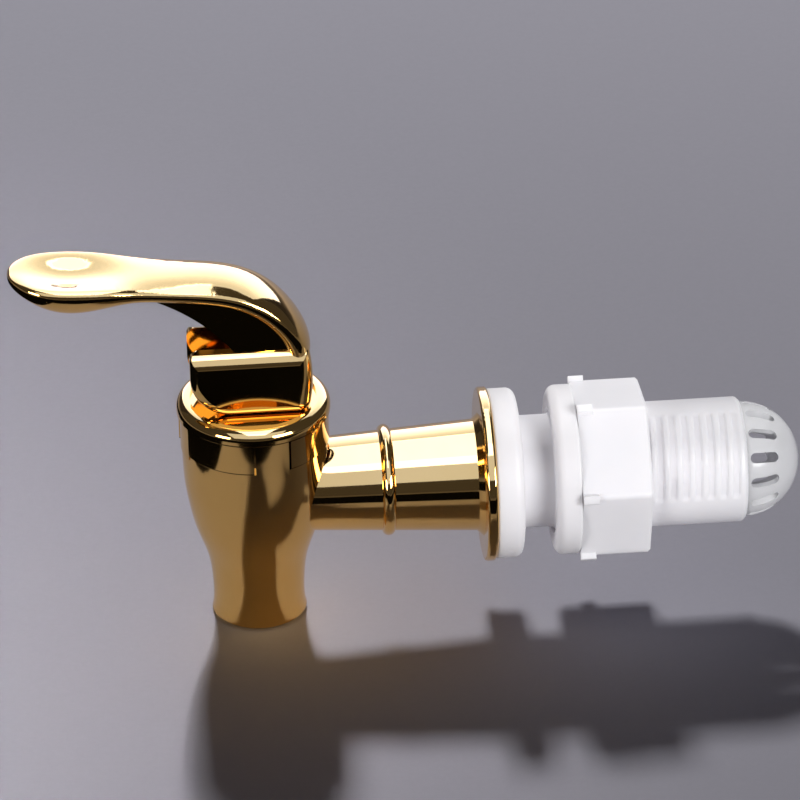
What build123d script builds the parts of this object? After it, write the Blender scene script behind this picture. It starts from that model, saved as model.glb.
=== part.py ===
# Lever tap for a drinks dispenser: a gold-plated valve body with a push-down lever, and a
# white threaded shank with gaskets, lock nut and strainer that clamps it to a vessel wall.
# Millimetres, +Z up. The origin is on the shank's axis, in the plane of the flange gasket's
# sealing face. +X runs along the shank into the vessel.
from build123d import *
import os
from math import cos, radians, sin

# Where things stand: the body's own axis is vertical, at a distance from the wall seat.
BODY_TO_SEAT = 41.4
TUBE_HEIGHT = 21.9          # shank axis above the outlet's lower rim

# Valve body: a vase, with heights counted from the outlet's rim.
OUTLET_R = 7.5
WAIST_R, WAIST_Z = 7.25, 5.0
SHOULDER_R = 11.45
SHOULDER_Z = 31.1           # where the cap's teeth end
NECK_R, NECK_TOP_Z = 10.4, 37.0
OUTLET_BORE_R, OUTLET_BORE_TOP_Z = 5.7, 10.5
SEAT_BORE_R, SEAT_Z = 4.9, 13.0
SEAT_LIP_R, SEAT_LIP_HEIGHT = 5.9, 0.8
CHAMBER_R = 7.8
GLAND_BORE_R, GLAND_SHELF_Z = 9.2, 30.0

# Side tube and flange of the valve body, with distances counted from the body's axis.
TUBE_START, TUBE_START_R = 6.0, 7.15
TUBE_END_R = 8.9
FLANGE_FRONT, FLANGE_BACK, FLANGE_R = 35.4, 37.1, 13.8
FLANGE_FILLET = 0.9
BEAD_X, BEAD_R, BEAD_WIRE_R = 20.5, 8.8, 1.05
SOCKET_R, SOCKET_START = 6.4, 10.2
INLET_R = 5.0

# Cap: a ring with four teeth that hang between four merlons of the body.
CAP_R, CAP_TOP_Z, CAP_CREASE_Z = 12.05, 38.9, 36.3
CAP_EDGE_R = 1.7
SEAM_EASE = 0.3            # eased lower edges of the ring and of its teeth
TOOTH_R, TOOTH_BORE_R = 11.75, 10.45
RECESS_R, RECESS_FLOOR_Z = 9.9, 38.3
CAP_PLATE_UNDERSIDE_Z = 37.05
STEM_HOLE_R = 3.0
TEETH = 4
MERLON_R = 11.6
MERLON_ARC = 26.5           # degrees
TOOTH_GAP_ARC = 29.5        # degrees left between two teeth
MERLON_FACING = -79.0       # degrees round +Z from +X to a merlon's middle

# Lever: forked cam block, web and arched arm with a dished thumb paddle.
PIVOT_Z = 43.2
BLOCK_LEFT, BLOCK_RIGHT, BLOCK_BULGE = -9.9, 8.6, 0.6
BLOCK_BOTTOM_Z, BLOCK_TOP_Z = 38.4, 49.5
BLOCK_HALF_WIDTH = 5.9
CAM_CORNER_R = 6.3
BLOCK_CORNER_R = 1.6
BLOCK_EDGE_R = 1.5
BLOCK_BACK_R = 2.2          # rounding of the two upright back edges
CHEEK_TOP_R = 3.0           # rounding along the outer top edges of the fork's cheeks
FORK_HALF_WIDTH = 3.5
FORK_END, FORK_TOP_Z = 4.8, 48.0
SOCKET_PIN_R, SOCKET_PIN_REACH = 1.65, 5.0
WEB_HALF_WIDTH, WEB_FOOT = 4.3, -2.9
ARM_TIP, ARM_TIP_Z = -37.2, 62.6
ARM_ROOT_Z = 47.0           # where the arm ends inside the block
# The arm's stations: x, z, lean in degrees, half width, crown, belly and dish.
ARM_STATIONS = (
    (-36.6, 62.6, 0, 2.7, 0.7, 1.2, 0.1),
    (-34.8, 62.5, 1, 5.0, 0.9, 2.4, 0.4),
    (-31.8, 62.2, 3, 6.6, 1.1, 3.7, 1.1),
    (-27.5, 61.9, 5, 7.1, 1.2, 4.5, 1.5),
    (-22.8, 61.5, 7, 6.8, 1.2, 3.7, 1.0),
    (-18.0, 60.9, 8, 6.1, 1.2, 2.2, 0.1),
    (-12.0, 60.1, 7, 5.7, 1.3, 1.8, -0.3),
    (-6.0, 59.3, 10, 5.7, 1.5, 1.8, -0.4),
    (-1.2, 57.9, 26, 5.8, 1.7, 1.8, -0.4),
    (3.1, 55.0, 46, 5.8, 1.8, 1.8, -0.3),
    (6.2, 50.8, 66, 5.6, 1.8, 1.8, -0.3),
    (6.6, 45.0, 88, 4.9, 1.6, 1.7, 0),
)

# Stem, plug, gland and spring on the body's axis.
STEM_R = 2.4
TRUNNION_R, TRUNNION_REACH = 1.6, 4.9
EYE_R, EYE_HALF_WIDTH = 3.0, 3.3
COLLAR_R, COLLAR_Z, COLLAR_THICKNESS = 5.0, 19.0, 1.5
BARB_R, BARB_Z, BARB_THICKNESS = 3.0, 15.0, 1.0
STEM_TAIL_R, STEM_TAIL_Z = 2.0, 14.4
PLUG_R, PLUG_FACE_Z, PLUG_NOSE_R, PLUG_NOSE_Z = 6.7, 13.85, 4.5, 12.4
GLAND_R, GLAND_TOP_Z = 9.15, 36.95
GLAND_GUIDE_R = 2.45
SPRING_POCKET_R, SPRING_POCKET_TOP_Z = 5.2, 32.0
STEM_RING_R, STEM_RING_WIRE_R = 3.22, 0.75
STEM_RING_POCKET_R, STEM_RING_POCKET_Z = 4.0, 34.0
BONNET_RING_R, BONNET_RING_WIRE_R, BONNET_RING_Z = 8.4, 0.75, 33.2
SPRING_R, SPRING_WIRE_R, SPRING_TURNS = 4.1, 0.35, 6.5

# Shank and what it carries, with distances counted from the wall seat.
FLANGE_GASKET_THICKNESS, WALL_GASKET_THICKNESS, GASKET_R = 4.3, 3.8, 13.4
GASKET_ROUND, GASKET_EDGE = 1.4, 0.3
SHANK_R, THREAD_R = 8.9, 10.0
THREAD_START, THREAD_END, THREAD_CHAMFER = 5.2, 35.4, 0.7
SPIGOT_R = 6.3
SHANK_BORE_R = 4.6
STRAINER_SOCKET_R, STRAINER_SOCKET_DEPTH = 7.6, 6.0
SHANK_RING_X, SHANK_RING_R, SHANK_RING_WIRE_R = -27.5, 5.7, 0.65
WALL_GAP = 5.1
LOOSE_BORE_R = 10.05        # wall gasket and nut run over the thread's crest
NUT_START, NUT_END = 8.95, 20.0
NUT_ACROSS_FLATS, NUT_CORNER_R = 24.5, 1.0
NUT_TURN = 19.0             # degrees from straight down to a corner
LUG_LENGTH, LUG_WIDTH, LUG_REACH = 2.4, 1.4, 14.7
DOME_R, DOME_LENGTH, DOME_WALL = 9.1, 9.1, 1.2
SLOTS, SLOT_WIDTH, SLOT_START, SLOT_LENGTH = 14, 1.6, 0.5, 4.6
SLOT_TURN = 7.6             # degrees from the top to the first slot

TO_BODY = Pos(-BODY_TO_SEAT, 0, -TUBE_HEIGHT)
TO_TUBE = Pos(0, 0, TUBE_HEIGHT)


def ring_section(inner, outer, start, end):
    """A washer-like solid of revolution round Z, from start to end."""
    return Pos(0, 0, start) * (
        Cylinder(outer, end - start, align=(Align.CENTER, Align.CENTER, Align.MIN))
        - Cylinder(inner, end - start, align=(Align.CENTER, Align.CENTER, Align.MIN))
    )


def rod(radius, start, end):
    """A round bar on Z, from start to end."""
    return Pos(0, 0, start) * Cylinder(radius, end - start, align=(Align.CENTER, Align.CENTER, Align.MIN))


def along_x(solid):
    """Turns a solid of revolution round Z so that its axis is X."""
    return Rot(0, 90, 0) * solid


def arc_sector(inner, outer, bottom, top, middle, width):
    """A block of a ring round Z that covers width degrees about its middle direction."""
    ring = ring_section(inner, outer, bottom, top)
    wedge_reach = 3 * outer
    half = radians(width / 2)
    corner = (wedge_reach * cos(half), wedge_reach * sin(half))
    wedge = extrude(make_face(Polyline((0, 0), corner, (corner[0], -corner[1]), close=True)), top - bottom)
    return ring & Rot(0, 0, middle) * Pos(0, 0, bottom) * wedge


def toothed_directions():
    return [MERLON_FACING + tooth * 360 / TEETH for tooth in range(TEETH)]


def make_valve_body():
    """Vase, side tube and flange moulded as one hollow shell, plated gold."""
    rim = 0.4
    flank = Spline(
        (OUTLET_R, rim), (WAIST_R, WAIST_Z), (8.05, 11.0), (9.7, 16.0), (10.85, 21.5), (SHOULDER_R, SHOULDER_Z),
        tangents=((-0.25, 1), (0.02, 1)),
    )
    outline = Polyline(
        (SHOULDER_R, SHOULDER_Z), (NECK_R, SHOULDER_Z), (NECK_R, NECK_TOP_Z), (0, NECK_TOP_Z), (0, 0),
        (OUTLET_R - rim, 0), (OUTLET_R, rim),
    )
    vase = revolve(Plane.XZ * make_face(flank + outline), Axis.Z)
    for middle in toothed_directions():
        vase += arc_sector(CHAMBER_R + 1.5, MERLON_R, SHOULDER_Z - 0.6, CAP_CREASE_Z - 0.05, middle, MERLON_ARC)

    cone = along_x(loft([
        Pos(0, 0, TUBE_START) * Circle(TUBE_START_R),
        Pos(0, 0, FLANGE_FRONT) * Circle(TUBE_END_R),
    ]))
    flange = fillet(rod(FLANGE_R, FLANGE_FRONT, FLANGE_BACK).edges(), 0.5)
    bead = Pos(0, 0, BEAD_X) * Torus(BEAD_R - BEAD_WIRE_R, BEAD_WIRE_R)
    root = Pos(0, 0, FLANGE_FRONT - FLANGE_FILLET) * Cone(
        TUBE_END_R, TUBE_END_R + FLANGE_FILLET, FLANGE_FILLET, align=(Align.CENTER, Align.CENTER, Align.MIN)
    )
    shell = vase + TO_TUBE * (cone + along_x(flange + bead + root))

    seat_lip = ring_section(SEAT_BORE_R, SEAT_LIP_R, SEAT_Z, SEAT_Z + SEAT_LIP_HEIGHT)
    chamber = rod(CHAMBER_R, SEAT_Z, NECK_TOP_Z) - seat_lip
    throat = Pos(0, 0, OUTLET_BORE_TOP_Z) * Cone(
        OUTLET_BORE_R, SEAT_BORE_R, 1.2, align=(Align.CENTER, Align.CENTER, Align.MIN)
    )
    bores = (
        rod(OUTLET_BORE_R, 0, OUTLET_BORE_TOP_Z) + throat + rod(SEAT_BORE_R, OUTLET_BORE_TOP_Z, SEAT_Z + 1)
        + chamber + rod(GLAND_BORE_R, GLAND_SHELF_Z, NECK_TOP_Z)
        + TO_TUBE * along_x(rod(INLET_R, 0, SOCKET_START + 1) + rod(SOCKET_R, SOCKET_START, FLANGE_BACK))
    )
    return TO_BODY * (shell - bores)


def make_bonnet_cap():
    """Ring with a sunk top plate and four teeth that lock between the body's merlons."""
    ring = ring_section(RECESS_R, CAP_R, CAP_CREASE_Z, CAP_TOP_Z)
    outer_edges = ring.edges().filter_by(GeomType.CIRCLE).filter_by(lambda edge: edge.radius > CAP_R - 0.01)
    ring = fillet(outer_edges.group_by(Axis.Z)[-1], CAP_EDGE_R)
    lower_edge = ring.edges().filter_by(GeomType.CIRCLE).group_by(Axis.Z)[0].sort_by(SortBy.RADIUS)[-1]
    ring = chamfer(lower_edge, SEAM_EASE)
    ring -= rod(TOOTH_BORE_R, CAP_CREASE_Z, CAP_PLATE_UNDERSIDE_Z)
    plate = ring_section(STEM_HOLE_R, CAP_R - 1.0, CAP_PLATE_UNDERSIDE_Z, RECESS_FLOOR_Z)
    skirt = ring_section(TOOTH_BORE_R, TOOTH_R, SHOULDER_Z, CAP_CREASE_Z + 0.1)
    skirt = chamfer(skirt.edges().group_by(Axis.Z)[0].sort_by(SortBy.RADIUS)[-1], SEAM_EASE)
    for middle in toothed_directions():
        skirt -= arc_sector(TOOTH_BORE_R - 1, CAP_R + 1, SHOULDER_Z - 1, CAP_CREASE_Z, middle, TOOTH_GAP_ARC)
    return TO_BODY * (ring + plate + skirt)


def paddle_section(x, z, lean, half_width, crown, belly, dish):
    """Closed cross-section of the lever's arm: crowned or dished above, rounded below."""
    points = []
    for step in range(16):
        angle = radians(step * 22.5)
        across = half_width * (abs(cos(angle)) ** 0.7) * (1 if cos(angle) >= 0 else -1)
        if sin(angle) >= 0:
            height = crown * sin(angle) ** 0.6 - dish * (1 - (across / half_width) ** 2) ** 2
        else:
            height = -belly * abs(sin(angle)) ** 0.85
        points.append((across, height))
    plane = Plane(origin=(x, 0, z), x_dir=(0, 1, 0), z_dir=(cos(radians(lean)), 0, -sin(radians(lean))))
    return plane * make_face(Spline(*points, periodic=True))


def make_lever_handle():
    """One moulding: forked cam block, web and arched arm that ends in a thumb paddle."""
    cam_x = BLOCK_LEFT + CAM_CORNER_R
    cam_z = BLOCK_BOTTOM_Z + CAM_CORNER_R
    middle_z = (BLOCK_BOTTOM_Z + BLOCK_TOP_Z) / 2
    back = ThreePointArc(
        (BLOCK_RIGHT, BLOCK_BOTTOM_Z), (BLOCK_RIGHT + BLOCK_BULGE, middle_z), (BLOCK_RIGHT, BLOCK_TOP_Z)
    )
    front = Polyline((BLOCK_RIGHT, BLOCK_TOP_Z), (BLOCK_LEFT, BLOCK_TOP_Z), (BLOCK_LEFT, cam_z))
    cam = RadiusArc((BLOCK_LEFT, cam_z), (cam_x, BLOCK_BOTTOM_Z), -CAM_CORNER_R)
    outline = make_face(Line((cam_x, BLOCK_BOTTOM_Z), (BLOCK_RIGHT, BLOCK_BOTTOM_Z)) + back + front + cam)
    block = extrude(Plane.XZ * outline, BLOCK_HALF_WIDTH, both=True)
    top_left = block.edges().filter_by(Axis.Y).group_by(Axis.Z)[-1].sort_by(Axis.X)[0]
    block = fillet(top_left, BLOCK_CORNER_R)
    upright = block.edges().filter_by(GeomType.CIRCLE).group_by(Axis.X)[-1]
    block = fillet(upright, BLOCK_BACK_R)
    outer_edges = [
        edge for edge in block.faces().filter_by(Axis.Y).edges() if edge.center().X < BLOCK_RIGHT - BLOCK_BACK_R
    ]
    block = fillet(outer_edges, BLOCK_EDGE_R)
    corner = Box(60, 2 * CHEEK_TOP_R, 2 * CHEEK_TOP_R, align=(Align.CENTER, Align.MIN, Align.MIN))
    corner -= Rot(0, 90, 0) * Cylinder(1.01 * CHEEK_TOP_R, 60)
    corner = Pos(0, BLOCK_HALF_WIDTH - CHEEK_TOP_R, BLOCK_TOP_Z - CHEEK_TOP_R) * corner
    block -= corner
    block -= mirror(corner, about=Plane.XZ)

    sections = [paddle_section(*station) for station in ARM_STATIONS]
    arm = loft([Vertex(ARM_TIP, 0, ARM_TIP_Z)] + sections)
    arm -= Box(100, 100, ARM_ROOT_Z, align=(Align.CENTER, Align.CENTER, Align.MIN))

    web_edge = Spline((WEB_FOOT, 49.2), (-7.7, 54.4), (-14.5, 58.8))
    web_back = Polyline(
        (-14.5, 58.8), (-6.0, 59.0), (2.0, 55.0), (5.5, 50.0), (6.5, 46.0), (WEB_FOOT, 46.0), (WEB_FOOT, 49.2)
    )
    web = extrude(Plane.XZ * make_face(web_edge + web_back), WEB_HALF_WIDTH, both=True)

    fork = Pos(FORK_END, 0, 0) * Box(
        40, 2 * FORK_HALF_WIDTH, FORK_TOP_Z, align=(Align.MAX, Align.CENTER, Align.MIN)
    )
    sockets = Pos(0, 0, PIVOT_Z) * Rot(90, 0, 0) * Cylinder(SOCKET_PIN_R, 2 * SOCKET_PIN_REACH)
    open_top = Pos(WEB_FOOT, 0, FORK_TOP_Z) * Box(
        20, 2 * FORK_HALF_WIDTH, BLOCK_TOP_Z - FORK_TOP_Z + 0.1, align=(Align.MAX, Align.CENTER, Align.MIN)
    )
    return TO_BODY * (block + arm + web - fork - open_top - sockets)


def make_valve_stem():
    """Moulded stem: barbed tail, spring collar, shaft and an eye with two trunnions."""
    shaft = rod(STEM_R, COLLAR_Z, PIVOT_Z)
    collar = rod(COLLAR_R, COLLAR_Z, COLLAR_Z + COLLAR_THICKNESS)
    tail = rod(STEM_TAIL_R, STEM_TAIL_Z, COLLAR_Z) + rod(BARB_R, BARB_Z, BARB_Z + BARB_THICKNESS)
    across = Pos(0, 0, PIVOT_Z) * Rot(90, 0, 0)
    eye = across * Cylinder(EYE_R, 2 * EYE_HALF_WIDTH)
    trunnions = across * Cylinder(TRUNNION_R, 2 * TRUNNION_REACH)
    return TO_BODY * (shaft + collar + tail + eye + trunnions)


def make_valve_plug():
    """Soft silicone plug: a flat sealing face round a nose, snapped over the stem's barb."""
    outline = Polyline(
        (0, PLUG_NOSE_Z), (PLUG_NOSE_R - 0.8, PLUG_NOSE_Z), (PLUG_NOSE_R, PLUG_FACE_Z),
        (PLUG_R - 0.3, PLUG_FACE_Z), (PLUG_R, PLUG_FACE_Z + 1.2), (COLLAR_R, COLLAR_Z), (0, COLLAR_Z), close=True,
    )
    plug = revolve(Plane.XZ * make_face(outline), Axis.Z)
    hollow = rod(STEM_TAIL_R, STEM_TAIL_Z, COLLAR_Z) + rod(BARB_R, BARB_Z, BARB_Z + BARB_THICKNESS)
    return TO_BODY * (plug - hollow)


def make_gland_bush():
    """Bush that closes the chamber, guides the stem and holds the spring's upper end."""
    bush = rod(GLAND_R, GLAND_SHELF_Z, GLAND_TOP_Z)
    groove = ring_section(
        BONNET_RING_R - BONNET_RING_WIRE_R, GLAND_R + 1,
        BONNET_RING_Z - BONNET_RING_WIRE_R, BONNET_RING_Z + BONNET_RING_WIRE_R,
    )
    bore = (
        rod(GLAND_GUIDE_R, GLAND_SHELF_Z, GLAND_TOP_Z)
        + rod(SPRING_POCKET_R, GLAND_SHELF_Z, SPRING_POCKET_TOP_Z)
        + rod(STEM_RING_POCKET_R, STEM_RING_POCKET_Z, GLAND_TOP_Z)
    )
    return TO_BODY * (bush - groove - bore)


def make_return_spring():
    """Steel wire spring between the stem's collar and the gland."""
    bottom = COLLAR_Z + COLLAR_THICKNESS + SPRING_WIRE_R + 0.05
    top = SPRING_POCKET_TOP_Z - SPRING_WIRE_R - 0.05
    path = Pos(0, 0, bottom) * Helix((top - bottom) / SPRING_TURNS, top - bottom, SPRING_R)
    section = Plane(origin=path @ 0, z_dir=path % 0) * Circle(SPRING_WIRE_R)
    return TO_BODY * sweep(section, path)


def make_threaded_shank():
    """White moulded tube: spigot inside the body, plain neck and threaded end."""
    spigot_start = SOCKET_START - BODY_TO_SEAT + 0.1
    flange_back = FLANGE_BACK - BODY_TO_SEAT
    tube = rod(SPIGOT_R, spigot_start, flange_back) + rod(SHANK_R, flange_back, THREAD_START)
    thread = rod(THREAD_R, THREAD_START, THREAD_END)
    tube += chamfer(thread.edges().filter_by(GeomType.CIRCLE), THREAD_CHAMFER)
    groove = ring_section(
        SHANK_RING_R - SHANK_RING_WIRE_R, SPIGOT_R + 1,
        SHANK_RING_X - SHANK_RING_WIRE_R, SHANK_RING_X + SHANK_RING_WIRE_R,
    )
    bore = rod(SHANK_BORE_R, spigot_start, THREAD_END) + rod(
        STRAINER_SOCKET_R, THREAD_END - STRAINER_SOCKET_DEPTH, THREAD_END
    )
    return along_x(tube - groove - bore)


def make_gasket(bore, thickness):
    """Round silicone gasket on Z, with a sharp side at 0 and a rounded side at its thickness."""
    disc = rod(GASKET_R, 0, thickness)
    disc = fillet(disc.edges().group_by(Axis.Z)[-1], GASKET_ROUND)
    disc = fillet(disc.edges().group_by(Axis.Z)[0], GASKET_EDGE)
    return disc - rod(bore, 0, thickness)


def make_flange_gasket():
    gasket = make_gasket(SHANK_R + 0.02, FLANGE_GASKET_THICKNESS)
    return along_x(Pos(0, 0, -FLANGE_GASKET_THICKNESS) * gasket)


def make_wall_gasket():
    gasket = make_gasket(LOOSE_BORE_R, WALL_GASKET_THICKNESS)
    return Pos(WALL_GAP + WALL_GASKET_THICKNESS, 0, 0) * Rot(0, -90, 0) * gasket


def make_lock_nut():
    """Six-sided moulded nut with eased corners and a small lug on each corner."""
    length = NUT_END - NUT_START
    hexagon = extrude(RegularPolygon(NUT_ACROSS_FLATS / 2, 6, major_radius=False), length)
    hexagon = fillet(hexagon.edges().filter_by(Axis.Z), NUT_CORNER_R)
    hexagon = chamfer(hexagon.edges().group_by(Axis.Z)[-1], 0.4)
    for corner in range(6):
        lug = Pos(THREAD_R + 1, 0, 0) * Box(
            LUG_REACH - THREAD_R - 1, LUG_WIDTH, LUG_LENGTH, align=(Align.MIN, Align.CENTER, Align.MIN)
        )
        hexagon += Rot(0, 0, corner * 60) * lug
    nut = hexagon - rod(LOOSE_BORE_R, 0, length)
    return Pos(NUT_START, 0, 0) * Rot(NUT_TURN, 0, 0) * along_x(nut)


def make_strainer_dome():
    """Clear domed strainer with a ring of slots, pushed into the shank's end."""
    dome_outer = Ellipse(DOME_LENGTH, DOME_R)
    dome_inner = Ellipse(DOME_LENGTH - DOME_WALL, DOME_R - DOME_WALL)
    quarter = Rectangle(40, 40, align=(Align.MIN, Align.MIN))
    dome = revolve((dome_outer - dome_inner) & quarter, Axis.X)
    for slot in range(SLOTS):
        outline = Pos(SLOT_START + SLOT_LENGTH / 2, 0) * SlotOverall(SLOT_LENGTH, SLOT_WIDTH)
        dome -= Rot(SLOT_TURN + slot * 360 / SLOTS, 0, 0) * extrude(outline, DOME_R)
    sleeve_r = STRAINER_SOCKET_R - 0.02
    sleeve = along_x(ring_section(sleeve_r - DOME_WALL, sleeve_r, 0.1 - STRAINER_SOCKET_DEPTH, 0.01))
    rim = along_x(ring_section(sleeve_r - DOME_WALL, DOME_R, 0.01, SLOT_START - 0.01))
    return Pos(THREAD_END, 0, 0) * (dome + sleeve + rim)


pieces = {
    "valve_body": make_valve_body(),
    "bonnet_cap": make_bonnet_cap(),
    "lever_handle": make_lever_handle(),
    "valve_stem": make_valve_stem(),
    "valve_plug": make_valve_plug(),
    "gland_bush": make_gland_bush(),
    "return_spring": make_return_spring(),
    "stem_o_ring": TO_BODY * Pos(0, 0, STEM_RING_POCKET_Z + STEM_RING_WIRE_R + 0.02)
    * Torus(STEM_RING_R, STEM_RING_WIRE_R),
    "bonnet_o_ring": TO_BODY * Pos(0, 0, BONNET_RING_Z) * Torus(BONNET_RING_R, BONNET_RING_WIRE_R),
    "threaded_shank": make_threaded_shank(),
    "shank_o_ring": along_x(Pos(0, 0, SHANK_RING_X) * Torus(SHANK_RING_R, SHANK_RING_WIRE_R)),
    "flange_gasket": make_flange_gasket(),
    "wall_gasket": make_wall_gasket(),
    "lock_nut": make_lock_nut(),
    "strainer_dome": make_strainer_dome(),
}

os.makedirs("parts", exist_ok=True)
for name, piece in pieces.items():
    export_step(piece, f"parts/{name}.step")
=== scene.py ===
from math import atan2, cos, pi, radians, sin, sqrt, tau

import bpy
from mathutils import Matrix, Vector


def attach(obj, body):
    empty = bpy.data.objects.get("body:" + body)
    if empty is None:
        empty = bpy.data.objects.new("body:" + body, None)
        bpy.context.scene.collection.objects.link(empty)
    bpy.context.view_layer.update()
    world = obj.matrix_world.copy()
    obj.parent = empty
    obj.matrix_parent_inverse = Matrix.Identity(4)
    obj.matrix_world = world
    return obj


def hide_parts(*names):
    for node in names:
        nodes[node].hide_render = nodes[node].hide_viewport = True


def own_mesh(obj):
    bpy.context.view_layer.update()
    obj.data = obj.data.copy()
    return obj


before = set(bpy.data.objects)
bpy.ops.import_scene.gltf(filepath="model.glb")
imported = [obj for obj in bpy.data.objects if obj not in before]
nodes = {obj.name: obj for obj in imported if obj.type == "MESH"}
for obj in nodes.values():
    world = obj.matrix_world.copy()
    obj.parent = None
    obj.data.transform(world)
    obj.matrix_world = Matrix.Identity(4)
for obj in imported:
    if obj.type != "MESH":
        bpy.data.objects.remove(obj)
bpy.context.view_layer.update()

# Valve body: the vase, its side tube and its flange are one ABS moulding, plated with a thin
# layer of gold over bright nickel. The plating is a mirror, with the faint waves of the moulding.
MM = 0.001


def linear(hex_colour):
    """Turns an sRGB hex value into the linear colour that the shaders take."""
    channels = [int(hex_colour[i:i + 2], 16) / 255 for i in (1, 3, 5)]
    return tuple(c / 12.92 if c <= 0.04045 else ((c + 0.055) / 1.055) ** 2.4 for c in channels) + (1.0,)


def add_node(material, kind, settings, inputs):
    """Adds one node; an input given as a socket is linked, any other value is set."""
    node = material.node_tree.nodes.new(kind)
    for name, value in settings.items():
        setattr(node, name, value)
    for name, value in inputs.items():
        if isinstance(value, bpy.types.NodeSocket):
            material.node_tree.links.new(value, node.inputs[name])
        else:
            node.inputs[name].default_value = value
    return node


def new_material(name):
    """An empty material with its output node."""
    material = bpy.data.materials.new(name)
    material.use_nodes = True
    material.node_tree.nodes.clear()
    return material, add_node(material, "ShaderNodeOutputMaterial", {}, {})


def dress(node_name, material):
    """Gives a solid of the frame its finished material."""
    slots = nodes[node_name].data.materials
    slots.clear()
    slots.append(material)


def plate_with_gold(name):
    """Electroplated gold on moulded ABS: mirror bright, a pale warm yellow, with very shallow waves
    about 6 mm long from the moulding and a haze that varies in patches of about 15 mm."""
    gold, gold_out = new_material(name)
    gold_place = add_node(gold, "ShaderNodeTexCoord", {}, {})
    gold_waves = add_node(gold, "ShaderNodeTexNoise", {}, {
        "Vector": gold_place.outputs["Object"], "Scale": 1 / (6 * MM), "Detail": 1.0, "Roughness": 0.4})
    gold_haze = add_node(gold, "ShaderNodeTexNoise", {}, {
        "Vector": gold_place.outputs["Object"], "Scale": 1 / (15 * MM), "Detail": 3.0, "Roughness": 0.55})
    gold_rough = add_node(gold, "ShaderNodeMapRange", {}, {
        "Value": gold_haze.outputs["Fac"], "From Min": 0.3, "From Max": 0.7,
        "To Min": 0.045, "To Max": 0.085})
    gold_tone = add_node(gold, "ShaderNodeMix", {"data_type": "RGBA"}, {
        0: gold_haze.outputs["Fac"], 6: linear("#F4C97C"), 7: linear("#EBBA68")})
    gold_bump = add_node(gold, "ShaderNodeBump", {}, {
        "Height": gold_waves.outputs["Fac"], "Strength": 0.12, "Distance": 0.15 * MM})
    gold_shader = add_node(gold, "ShaderNodeBsdfPrincipled", {}, {
        "Base Color": gold_tone.outputs[2], "Metallic": 1.0, "Roughness": gold_rough.outputs["Result"],
        "Normal": gold_bump.outputs["Normal"]})
    gold.node_tree.links.new(gold_shader.outputs["BSDF"], gold_out.inputs["Surface"])
    return gold, gold_place, gold_tone, gold_shader


gold = plate_with_gold("gold_plated_abs")[0]
dress("valve_body", gold)

# Cap: a plated ring, pressed on the body so that its four teeth lock between the merlons. It has
# the body's plating, with a line of painted shade along the lower edges of the ring and of its teeth,
# standing in for the shade in the seam with the body, which is too narrow to show by itself.
SEAM_HEIGHTS, SEAM_HALF_WIDTH = (9.35, 14.55), 0.2
SEAM_SHADE_COLOUR = "#3A2610"
cap_gold, cap_place, cap_tone, cap_shader = plate_with_gold("gold_plated_cap")
cap_height = add_node(cap_gold, "ShaderNodeSeparateXYZ", {}, {"Vector": cap_place.outputs["Object"]})
cap_shade = cap_tone.outputs[2]
# Painted shade: a thin dark band is mixed into the plating's colour at each seam height.
for seam_height in SEAM_HEIGHTS:
    seam_shade_mask = add_node(cap_gold, "ShaderNodeMath", {"operation": "COMPARE"}, {
        0: cap_height.outputs["Z"], 1: seam_height * MM, 2: SEAM_HALF_WIDTH * MM})
    cap_shade = add_node(cap_gold, "ShaderNodeMix", {"data_type": "RGBA"}, {
        0: seam_shade_mask.outputs["Value"], 6: cap_shade, 7: linear(SEAM_SHADE_COLOUR)}).outputs[2]
cap_gold.node_tree.links.new(cap_shade, cap_shader.inputs["Base Color"])
dress("bonnet_cap", cap_gold)

# Lever: one plated moulding with a forked cam block, a web and an arched arm with a thumb dish.
# It snaps over the two trunnions of the stem.
dress("lever_handle", gold)

# Shank: a milky polypropylene moulding, pushed into the body's tube. Its plain neck crosses the
# wall, and its thread stands on two opposite sides, with a plain band where the mould parts.
PITCH = 2.0
CREST_R, ROOT_R, BAND_R = 10.0, 9.62, 9.9
THREAD_FROM, THREAD_TO = 6.3, 34.7
SECTOR_MIDDLE = radians(53)
SECTOR_HALF, SECTOR_FADE = radians(42), radians(6)
RUN_OUT = 0.8
ROOT_HALF, FLANK = 0.13, 0.2
ROW = 0.2
SHANK_SEGMENTS = 192


def lathe_on_x(name, profile, segments):
    """A closed ring of revolution round X: a circle extruded and scaled from point to point."""
    start_x, start_r = profile[0]
    bpy.ops.object.select_all(action="DESELECT")
    bpy.ops.mesh.primitive_circle_add(
        vertices=segments, radius=start_r * MM, location=(start_x * MM, 0, 0), rotation=(0, pi / 2, 0))
    piece = bpy.context.object
    piece.name = name
    bpy.ops.object.transform_apply(location=True, rotation=True, scale=True)
    bpy.ops.object.mode_set(mode="EDIT")
    bpy.ops.mesh.select_all(action="SELECT")
    last_x, last_r = start_x, start_r
    for x, r in profile[1:]:
        bpy.ops.mesh.extrude_region_move(TRANSFORM_OT_translate={"value": ((x - last_x) * MM, 0, 0)})
        if r != last_r:
            bpy.ops.transform.resize(value=(1, r / last_r, r / last_r), center_override=(x * MM, 0, 0))
        last_x, last_r = x, r
    bpy.ops.mesh.select_mode(type="EDGE")
    bpy.ops.mesh.select_all(action="DESELECT")
    bpy.ops.mesh.select_non_manifold()
    bpy.ops.mesh.bridge_edge_loops()
    bpy.ops.mesh.select_all(action="SELECT")
    bpy.ops.mesh.normals_make_consistent(inside=False)
    bpy.ops.object.mode_set(mode="OBJECT")
    return piece


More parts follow.
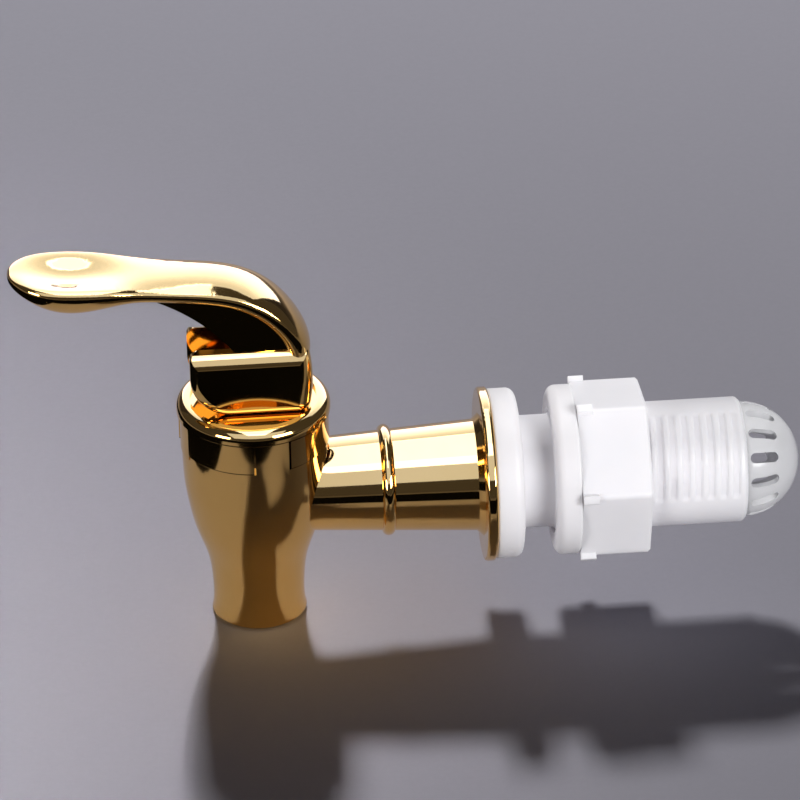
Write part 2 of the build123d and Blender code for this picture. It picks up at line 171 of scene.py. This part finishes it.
neck_profile = [(-31.1, 4.6), (-31.1, 6.1), (-30.9, 6.3), (-28.15, 6.3), (-28.15, 5.05), (-26.85, 5.05),
                (-26.85, 6.3), (-4.29, 6.3), (-4.29, 8.7), (-4.1, 8.9), (5.0, 8.9), (5.2, 9.1),
                (5.9, BAND_R), (THREAD_FROM, BAND_R)]
rows = round((THREAD_TO - THREAD_FROM) / ROW)
thread_rows = [(THREAD_FROM + ROW * (row + 1), BAND_R) for row in range(rows)]
end_profile = [(35.0, 9.8), (35.4, 9.4), (35.4, 7.75), (35.3, 7.6), (29.4, 7.6), (29.4, 4.6)]
shank = lathe_on_x("shank", neck_profile + thread_rows + end_profile, SHANK_SEGMENTS)
for vertex in shank.data.vertices:
    x, y, z = vertex.co / MM
    radius = sqrt(y * y + z * z)
    if x < THREAD_FROM or x > THREAD_TO + 0.1 or radius < BAND_R - 0.01:
        continue
    around = atan2(-y, z)
    aside = min(abs((around - SECTOR_MIDDLE + pi) % tau - pi), abs((around - SECTOR_MIDDLE) % tau - pi))
    inside = max(0.0, min(1.0, (SECTOR_HALF - aside) / SECTOR_FADE + 0.5))
    inside = inside * inside * (3 - 2 * inside)
    run_out = max(0.0, min(1.0, (THREAD_TO - x) / RUN_OUT, (x - THREAD_FROM) / RUN_OUT))
    phase = (x / PITCH + around / tau) % 1.0
    flank = max(0.0, min(1.0, (abs(phase - 0.5) - ROOT_HALF) / FLANK))
    flank = flank * flank * (3 - 2 * flank)
    threaded = ROOT_R + (CREST_R - ROOT_R) * (1 - flank)
    target = BAND_R + (threaded - BAND_R) * inside * run_out
    vertex.co.y *= target / radius
    vertex.co.z *= target / radius
bpy.ops.object.shade_smooth_by_angle(angle=radians(38))

# Natural polypropylene, injection moulded: milky and a little translucent, near white with a
# cold tinge, satin from the mould's fine spark grain of about 0.35 mm, with flow clouds of 9 mm.
white, white_out = new_material("milky_polypropylene")
white_place = add_node(white, "ShaderNodeTexCoord", {}, {})
white_clouds = add_node(white, "ShaderNodeTexNoise", {}, {
    "Vector": white_place.outputs["Object"], "Scale": 1 / (9 * MM), "Detail": 2.0, "Roughness": 0.5})
white_grain = add_node(white, "ShaderNodeTexNoise", {}, {
    "Vector": white_place.outputs["Object"], "Scale": 1 / (0.35 * MM), "Detail": 2.0, "Roughness": 0.6})
white_tone = add_node(white, "ShaderNodeMix", {"data_type": "RGBA"}, {
    0: white_clouds.outputs["Fac"], 6: linear("#F5F3F6"), 7: linear("#ECEAEE")})
white_rough = add_node(white, "ShaderNodeMapRange", {}, {
    "Value": white_clouds.outputs["Fac"], "From Min": 0.3, "From Max": 0.7, "To Min": 0.34, "To Max": 0.44})
white_bump = add_node(white, "ShaderNodeBump", {}, {
    "Height": white_grain.outputs["Fac"], "Strength": 0.12, "Distance": 0.02 * MM})
white_shader = add_node(white, "ShaderNodeBsdfPrincipled", {}, {
    "Base Color": white_tone.outputs[2], "Roughness": white_rough.outputs["Result"], "IOR": 1.49,
    "Subsurface Weight": 0.6, "Subsurface Radius": (1.0, 0.95, 0.9), "Subsurface Scale": 2.5 * MM,
    "Normal": white_bump.outputs["Normal"]})
white.node_tree.links.new(white_shader.outputs["BSDF"], white_out.inputs["Surface"])
shank.data.materials.append(white)
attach(shank, "tap_body")
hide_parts("threaded_shank")

# Gaskets: two thick rings of food-grade silicone, pressed in a mould. One lies against the
# flange, the other is loose on the thread, and they clamp the vessel's wall between them.
silicone, silicone_out = new_material("milky_silicone")
silicone_place = add_node(silicone, "ShaderNodeTexCoord", {}, {})
silicone_clouds = add_node(silicone, "ShaderNodeTexNoise", {}, {
    "Vector": silicone_place.outputs["Object"], "Scale": 1 / (7 * MM), "Detail": 3.0, "Roughness": 0.5})
silicone_skin = add_node(silicone, "ShaderNodeTexNoise", {}, {
    "Vector": silicone_place.outputs["Object"], "Scale": 1 / (0.5 * MM), "Detail": 2.0, "Roughness": 0.5})
silicone_tone = add_node(silicone, "ShaderNodeMix", {"data_type": "RGBA"}, {
    0: silicone_clouds.outputs["Fac"], 6: linear("#F1EFF1"), 7: linear("#E6E3E6")})
silicone_rough = add_node(silicone, "ShaderNodeMapRange", {}, {
    "Value": silicone_clouds.outputs["Fac"], "From Min": 0.3, "From Max": 0.7,
    "To Min": 0.36, "To Max": 0.5})
silicone_bump = add_node(silicone, "ShaderNodeBump", {}, {
    "Height": silicone_skin.outputs["Fac"], "Strength": 0.1, "Distance": 0.02 * MM})
silicone_shader = add_node(silicone, "ShaderNodeBsdfPrincipled", {}, {
    "Base Color": silicone_tone.outputs[2], "Roughness": silicone_rough.outputs["Result"], "IOR": 1.41,
    "Subsurface Weight": 0.6, "Subsurface Radius": (1.0, 0.96, 0.92), "Subsurface Scale": 2.5 * MM,
    "Normal": silicone_bump.outputs["Normal"]})
silicone.node_tree.links.new(silicone_shader.outputs["BSDF"], silicone_out.inputs["Surface"])
for gasket in ("flange_gasket", "wall_gasket"):
    dress(gasket, silicone)

# Lock nut: a six-sided polypropylene moulding that runs on the shank's thread, with a small lug
# on each corner for the fingers.
dress("lock_nut", white)

# Strainer: a clear moulded dome with a ring of slots, pushed into the shank's end. It keeps
# fruit and ice out of the valve.
clear, clear_out = new_material("clear_polystyrene")
clear_place = add_node(clear, "ShaderNodeTexCoord", {}, {})
clear_flow = add_node(clear, "ShaderNodeTexNoise", {}, {
    "Vector": clear_place.outputs["Object"], "Scale": 1 / (3 * MM), "Detail": 2.0, "Roughness": 0.5})
clear_rough = add_node(clear, "ShaderNodeMapRange", {}, {
    "Value": clear_flow.outputs["Fac"], "From Min": 0.3, "From Max": 0.7, "To Min": 0.12, "To Max": 0.24})
clear_bump = add_node(clear, "ShaderNodeBump", {}, {
    "Height": clear_flow.outputs["Fac"], "Strength": 0.25, "Distance": 0.1 * MM})
clear_shader = add_node(clear, "ShaderNodeBsdfPrincipled", {}, {
    "Base Color": linear("#FAFAFC"), "Roughness": clear_rough.outputs["Result"], "IOR": 1.45,
    "Transmission Weight": 0.5, "Normal": clear_bump.outputs["Normal"]})
clear.node_tree.links.new(clear_shader.outputs["BSDF"], clear_out.inputs["Surface"])
dress("strainer_dome", clear)

# Inside the body: a moulded acetal stem and gland, with a silicone plug and seals. The stem and
# plug lift off the seat together.
acetal, acetal_out = new_material("moulded_acetal")
acetal_place = add_node(acetal, "ShaderNodeTexCoord", {}, {})
acetal_grain = add_node(acetal, "ShaderNodeTexNoise", {}, {
    "Vector": acetal_place.outputs["Object"], "Scale": 1 / (0.8 * MM), "Detail": 2.0, "Roughness": 0.5})
acetal_tone = add_node(acetal, "ShaderNodeMix", {"data_type": "RGBA"}, {
    0: acetal_grain.outputs["Fac"], 6: linear("#F0EFEA"), 7: linear("#E6E4DE")})
acetal_bump = add_node(acetal, "ShaderNodeBump", {}, {
    "Height": acetal_grain.outputs["Fac"], "Strength": 0.1, "Distance": 0.02 * MM})
acetal_shader = add_node(acetal, "ShaderNodeBsdfPrincipled", {}, {
    "Base Color": acetal_tone.outputs[2], "Roughness": 0.32, "IOR": 1.48,
    "Normal": acetal_bump.outputs["Normal"]})
acetal.node_tree.links.new(acetal_shader.outputs["BSDF"], acetal_out.inputs["Surface"])
for moulding in ("valve_stem", "gland_bush"):
    dress(moulding, acetal)
for seal in ("valve_plug", "stem_o_ring", "bonnet_o_ring", "shank_o_ring"):
    dress(seal, silicone)

# Return spring: drawn stainless wire, coiled cold. It stands between the stem's collar and the
# gland. The real coil is pressed shorter as the stem lifts, while this one keeps its length.
SPRING_R, WIRE_R, TURNS = 4.1, 0.35, 6.5
SPRING_X, SPRING_FOOT, SPRING_TOP = -41.4, -1.0, 9.7
STEPS_IN_A_TURN = 40
bpy.ops.object.select_all(action="DESELECT")
bpy.ops.mesh.primitive_circle_add(
    vertices=14, radius=WIRE_R * MM, location=((SPRING_X + SPRING_R) * MM, 0, SPRING_FOOT * MM),
    rotation=(pi / 2, 0, 0))
spring = bpy.context.object
spring.name = "coil_spring"
bpy.ops.object.transform_apply(location=True, rotation=True, scale=True)
bpy.context.scene.cursor.location = (SPRING_X * MM, 0, 0)
bpy.ops.object.origin_set(type="ORIGIN_CURSOR")
coil = spring.modifiers.new("coil", "SCREW")
coil.axis = "Z"
coil.angle = tau * TURNS
coil.screw_offset = (SPRING_TOP - SPRING_FOOT) * MM
coil.steps = coil.render_steps = round(STEPS_IN_A_TURN * TURNS)
bpy.ops.object.modifier_apply(modifier="coil")
bpy.ops.object.transform_apply(location=True, rotation=True, scale=True)
bpy.context.scene.cursor.location = (0, 0, 0)
bpy.ops.object.mode_set(mode="EDIT")
bpy.ops.mesh.select_mode(type="EDGE")
bpy.ops.mesh.select_all(action="DESELECT")
bpy.ops.mesh.select_non_manifold()
bpy.ops.mesh.fill_holes(sides=0)
bpy.ops.mesh.select_all(action="SELECT")
bpy.ops.mesh.normals_make_consistent(inside=False)
bpy.ops.object.mode_set(mode="OBJECT")
bpy.ops.object.shade_smooth_by_angle(angle=radians(50))
steel, steel_out = new_material("drawn_stainless_wire")
steel_place = add_node(steel, "ShaderNodeTexCoord", {}, {})
steel_draw = add_node(steel, "ShaderNodeTexNoise", {}, {
    "Vector": steel_place.outputs["Object"], "Scale": 1 / (0.3 * MM), "Detail": 2.0, "Roughness": 0.6})
steel_rough = add_node(steel, "ShaderNodeMapRange", {}, {
    "Value": steel_draw.outputs["Fac"], "From Min": 0.3, "From Max": 0.7, "To Min": 0.18, "To Max": 0.32})
steel_shader = add_node(steel, "ShaderNodeBsdfPrincipled", {}, {
    "Base Color": linear("#C6C4C0"), "Metallic": 1.0, "Roughness": steel_rough.outputs["Result"]})
steel.node_tree.links.new(steel_shader.outputs["BSDF"], steel_out.inputs["Surface"])
spring.data.materials.append(steel)
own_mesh(spring)
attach(spring, "tap_body")
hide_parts("return_spring")

# Studio: a pale sweep of seamless paper. It curves up behind the tap, well clear of it.
FLOOR_Z = -22.0
SWEEP_WIDE, SWEEP_DEEP, SWEEP_HIGH, SWEEP_BEND = 3.6, 3.2, 1.5, 0.6
BACK_EDGE_Y = SWEEP_DEEP / 2 - 0.1
bpy.ops.object.select_all(action="DESELECT")
bpy.ops.mesh.primitive_plane_add(size=1, location=(0, 0, FLOOR_Z * MM))
sweep = bpy.context.object
sweep.name = "paper_sweep"
sweep.scale = (SWEEP_WIDE, SWEEP_DEEP, 1)
bpy.ops.object.transform_apply(location=True, rotation=True, scale=True)
bpy.ops.object.mode_set(mode="EDIT")
bpy.ops.mesh.select_mode(type="EDGE")
bpy.ops.mesh.select_all(action="DESELECT")
bpy.ops.object.mode_set(mode="OBJECT")
for edge in sweep.data.edges:
    edge.select = all(sweep.data.vertices[v].co.y > BACK_EDGE_Y for v in edge.vertices)
bpy.ops.object.mode_set(mode="EDIT")
bpy.ops.mesh.extrude_region_move(TRANSFORM_OT_translate={"value": (0, 0, SWEEP_HIGH)})
bpy.ops.object.mode_set(mode="OBJECT")
for edge in sweep.data.edges:
    ends = [sweep.data.vertices[v].co for v in edge.vertices]
    edge.select = all(end.y > BACK_EDGE_Y and end.z < 0 for end in ends)
bpy.ops.object.mode_set(mode="EDIT")
bpy.ops.mesh.bevel(offset=SWEEP_BEND, segments=24)
bpy.ops.object.mode_set(mode="OBJECT")
bpy.ops.object.shade_smooth()
paper, paper_out = new_material("pale_paper")
paper_place = add_node(paper, "ShaderNodeTexCoord", {}, {})
paper_fibre = add_node(paper, "ShaderNodeTexNoise", {}, {
    "Vector": paper_place.outputs["Object"], "Scale": 1 / (0.9 * MM), "Detail": 2.0, "Roughness": 0.6})
paper_tone = add_node(paper, "ShaderNodeMix", {"data_type": "RGBA"}, {
    0: paper_fibre.outputs["Fac"], 6: linear("#B0AEB8"), 7: linear("#ABA9B3")})
paper_shader = add_node(paper, "ShaderNodeBsdfPrincipled", {}, {
    "Base Color": paper_tone.outputs[2], "Roughness": 0.9, "Specular IOR Level": 0.0})
paper.node_tree.links.new(paper_shader.outputs["BSDF"], paper_out.inputs["Surface"])
sweep.data.materials.append(paper)

# Light: a key behind the tap throws its shadow forward, and a floor light beside it brightens the
# paper at the left. Three cool boxes round the top are there for the plating to mirror, and three
# white ones open up the pale parts. Flags, made by light linking, keep each light to its pieces.
ROOM_STRENGTH = 0.12
world = bpy.data.worlds.new("dim_room")
world.use_nodes = True
world.node_tree.nodes["Background"].inputs["Color"].default_value = linear("#B5B3BC")
world.node_tree.nodes["Background"].inputs["Strength"].default_value = ROOM_STRENGTH
bpy.context.scene.world = world


def flag(name, pieces, state):
    """A collection that a light reaches alone, or that it is kept off."""
    flagged = bpy.data.collections.new(name)
    for piece in pieces:
        flagged.objects.link(piece)
    for member in flagged.collection_objects:
        member.light_linking.link_state = state
    return flagged


plated_pieces = [nodes[piece] for piece in ("valve_body", "bonnet_cap", "lever_handle")]
pale_pieces = [nodes[piece] for piece in ("flange_gasket", "wall_gasket", "lock_nut", "strainer_dome")]
no_paper = flag("off_the_paper", [sweep], "EXCLUDE")
paper_only = flag("on_the_paper", [sweep], "INCLUDE")
gold_only = flag("on_the_plating", plated_pieces, "INCLUDE")
pale_only = flag("on_the_pale", pale_pieces, "INCLUDE")
COOL, WHITE = "#B8CAFF", "#FFFFFF"
OPEN_SPREAD, GRID_SPREAD = 180, 10.7
KEY_PLACE = (-0.03, 1.05, 0.82)
FLOOR_SPOT = (-0.15, -0.06, FLOOR_Z * MM)
for name, place, aim, wide, high, watts, tint, spread, mirrored, spills, flagged in (
    ("key_behind", KEY_PLACE, (-0.02, 0.0, 0.0),
     0.14, 0.14, 13.0, WHITE, OPEN_SPREAD, False, True, None),
    ("floor_light", KEY_PLACE, FLOOR_SPOT,
     0.14, 0.14, 0.12, WHITE, GRID_SPREAD, False, True, paper_only),
    ("soft_box_above", (-0.03, 0.0, 0.44), (-0.03, 0.0, 0.0),
     0.18, 0.62, 1.6, COOL, OPEN_SPREAD, True, False, gold_only),
    ("soft_box_behind", (0.05, 0.43, 0.265), (0.0, 0.069, 0.0),
     0.62, 0.46, 3.4, COOL, OPEN_SPREAD, True, False, gold_only),
    ("soft_box_front", (-0.03, -0.38, 0.40), (-0.03, 0.0, 0.01),
     0.70, 0.50, 1.6, COOL, OPEN_SPREAD, True, False, gold_only),
    ("soft_box_top", (0.03, 0.05, 0.60), (0.03, 0.0, 0.0),
     0.40, 0.40, 0.9, WHITE, OPEN_SPREAD, True, True, pale_only),
    ("soft_box_left", (-0.84, -0.72, 0.22), (-0.04, 0.0, 0.01),
     0.40, 0.28, 5.2, WHITE, OPEN_SPREAD, True, True, no_paper),
    ("soft_box_right", (0.68, -0.90, 0.42), (0.02, 0.0, 0.0),
     0.60, 0.40, 12.6, WHITE, OPEN_SPREAD, True, True, no_paper),
):
    lamp = bpy.data.lights.new(name, "AREA")
    lamp.shape = "RECTANGLE"
    lamp.size, lamp.size_y = wide, high
    lamp.energy = watts
    lamp.color = linear(tint)[:3]
    lamp.spread = radians(spread)
    light = bpy.data.objects.new(name, lamp)
    bpy.context.scene.collection.objects.link(light)
    light.location = place
    light.rotation_euler = (Vector(aim) - Vector(place)).to_track_quat("-Z", "Y").to_euler()
    light.visible_camera = False
    light.visible_glossy = mirrored
    light.visible_diffuse = spills
    if flagged:
        light.light_linking.receiver_collection = flagged

# Hood: a veil over the rear box dims it towards one edge, so that the lever's top, which mirrors
# it, shades from white to gold.
hood = bpy.data.lights["soft_box_behind"]
hood.use_nodes = True
hood_place = add_node(hood, "ShaderNodeNewGeometry", {}, {})
hood_sides = add_node(hood, "ShaderNodeSeparateXYZ", {}, {"Vector": hood_place.outputs["Parametric"]})
hood_fade = add_node(hood, "ShaderNodeMapRange", {"interpolation_type": "SMOOTHSTEP"}, {
    "Value": hood_sides.outputs["Y"], "From Min": 0.35, "From Max": 0.95, "To Min": 1.15, "To Max": 0.5})
hood.node_tree.links.new(hood_fade.outputs["Result"], hood.node_tree.nodes["Emission"].inputs["Strength"])

# Black cards: they lie on the paper in front of the tap and to its left, outside the picture, and
# only reflections show them, as the dark sides of the lever's fork and of the body.
CARD_LIFT = 0.5
felt, felt_out = new_material("black_felt")
felt_shader = add_node(felt, "ShaderNodeBsdfPrincipled", {}, {
    "Base Color": linear("#0A0A0A"), "Roughness": 0.9, "Specular IOR Level": 0.0})
felt.node_tree.links.new(felt_shader.outputs["BSDF"], felt_out.inputs["Surface"])
for card_name, card_x, card_y, card_wide, card_deep in (
    ("black_card_front", -0.02, -0.20, 0.50, 0.27),
    ("black_card_left", -0.19, 0.08, 0.19, 0.30),
):
    bpy.ops.object.select_all(action="DESELECT")
    bpy.ops.mesh.primitive_plane_add(size=1, location=(card_x, card_y, (FLOOR_Z + CARD_LIFT) * MM))
    card = bpy.context.object
    card.name = card_name
    card.scale = (card_wide, card_deep, 1)
    bpy.ops.object.transform_apply(location=True, rotation=True, scale=True)
    card.data.materials.append(felt)
    card.visible_camera = False
    card.visible_diffuse = False
    card.visible_shadow = False
    card.visible_transmission = False

# Camera: in front of the tap, about 31 degrees above it and a little to the left.
CAMERA_RIGHT = Vector((0.99701, -0.07733, 0.0))
CAMERA_UP = Vector((0.03965, 0.51117, 0.85857))
CAMERA_BACK = Vector((-0.0664, -0.8560, 0.5127))
ROLL = radians(-1.074)
DISTANCE = 992.6
FOCAL, SENSOR = 283.9, 36.0
right = CAMERA_RIGHT * cos(ROLL) + CAMERA_UP * sin(ROLL)
up = CAMERA_UP * cos(ROLL) - CAMERA_RIGHT * sin(ROLL)
aim_point = Vector((-17.9, 0.0, 3.1)) - right * 0.698 + up * 9.696
stand = (aim_point + CAMERA_BACK * DISTANCE) * MM
lens = bpy.data.cameras.new("camera")
lens.sensor_width = SENSOR
lens.lens = FOCAL
camera = bpy.data.objects.new("camera", lens)
bpy.context.scene.collection.objects.link(camera)
turn = Matrix((right, up, CAMERA_BACK)).transposed().to_4x4()
camera.matrix_world = Matrix.Translation(stand) @ turn
bpy.context.scene.camera = camera
bpy.context.scene.view_settings.view_transform = "Standard"
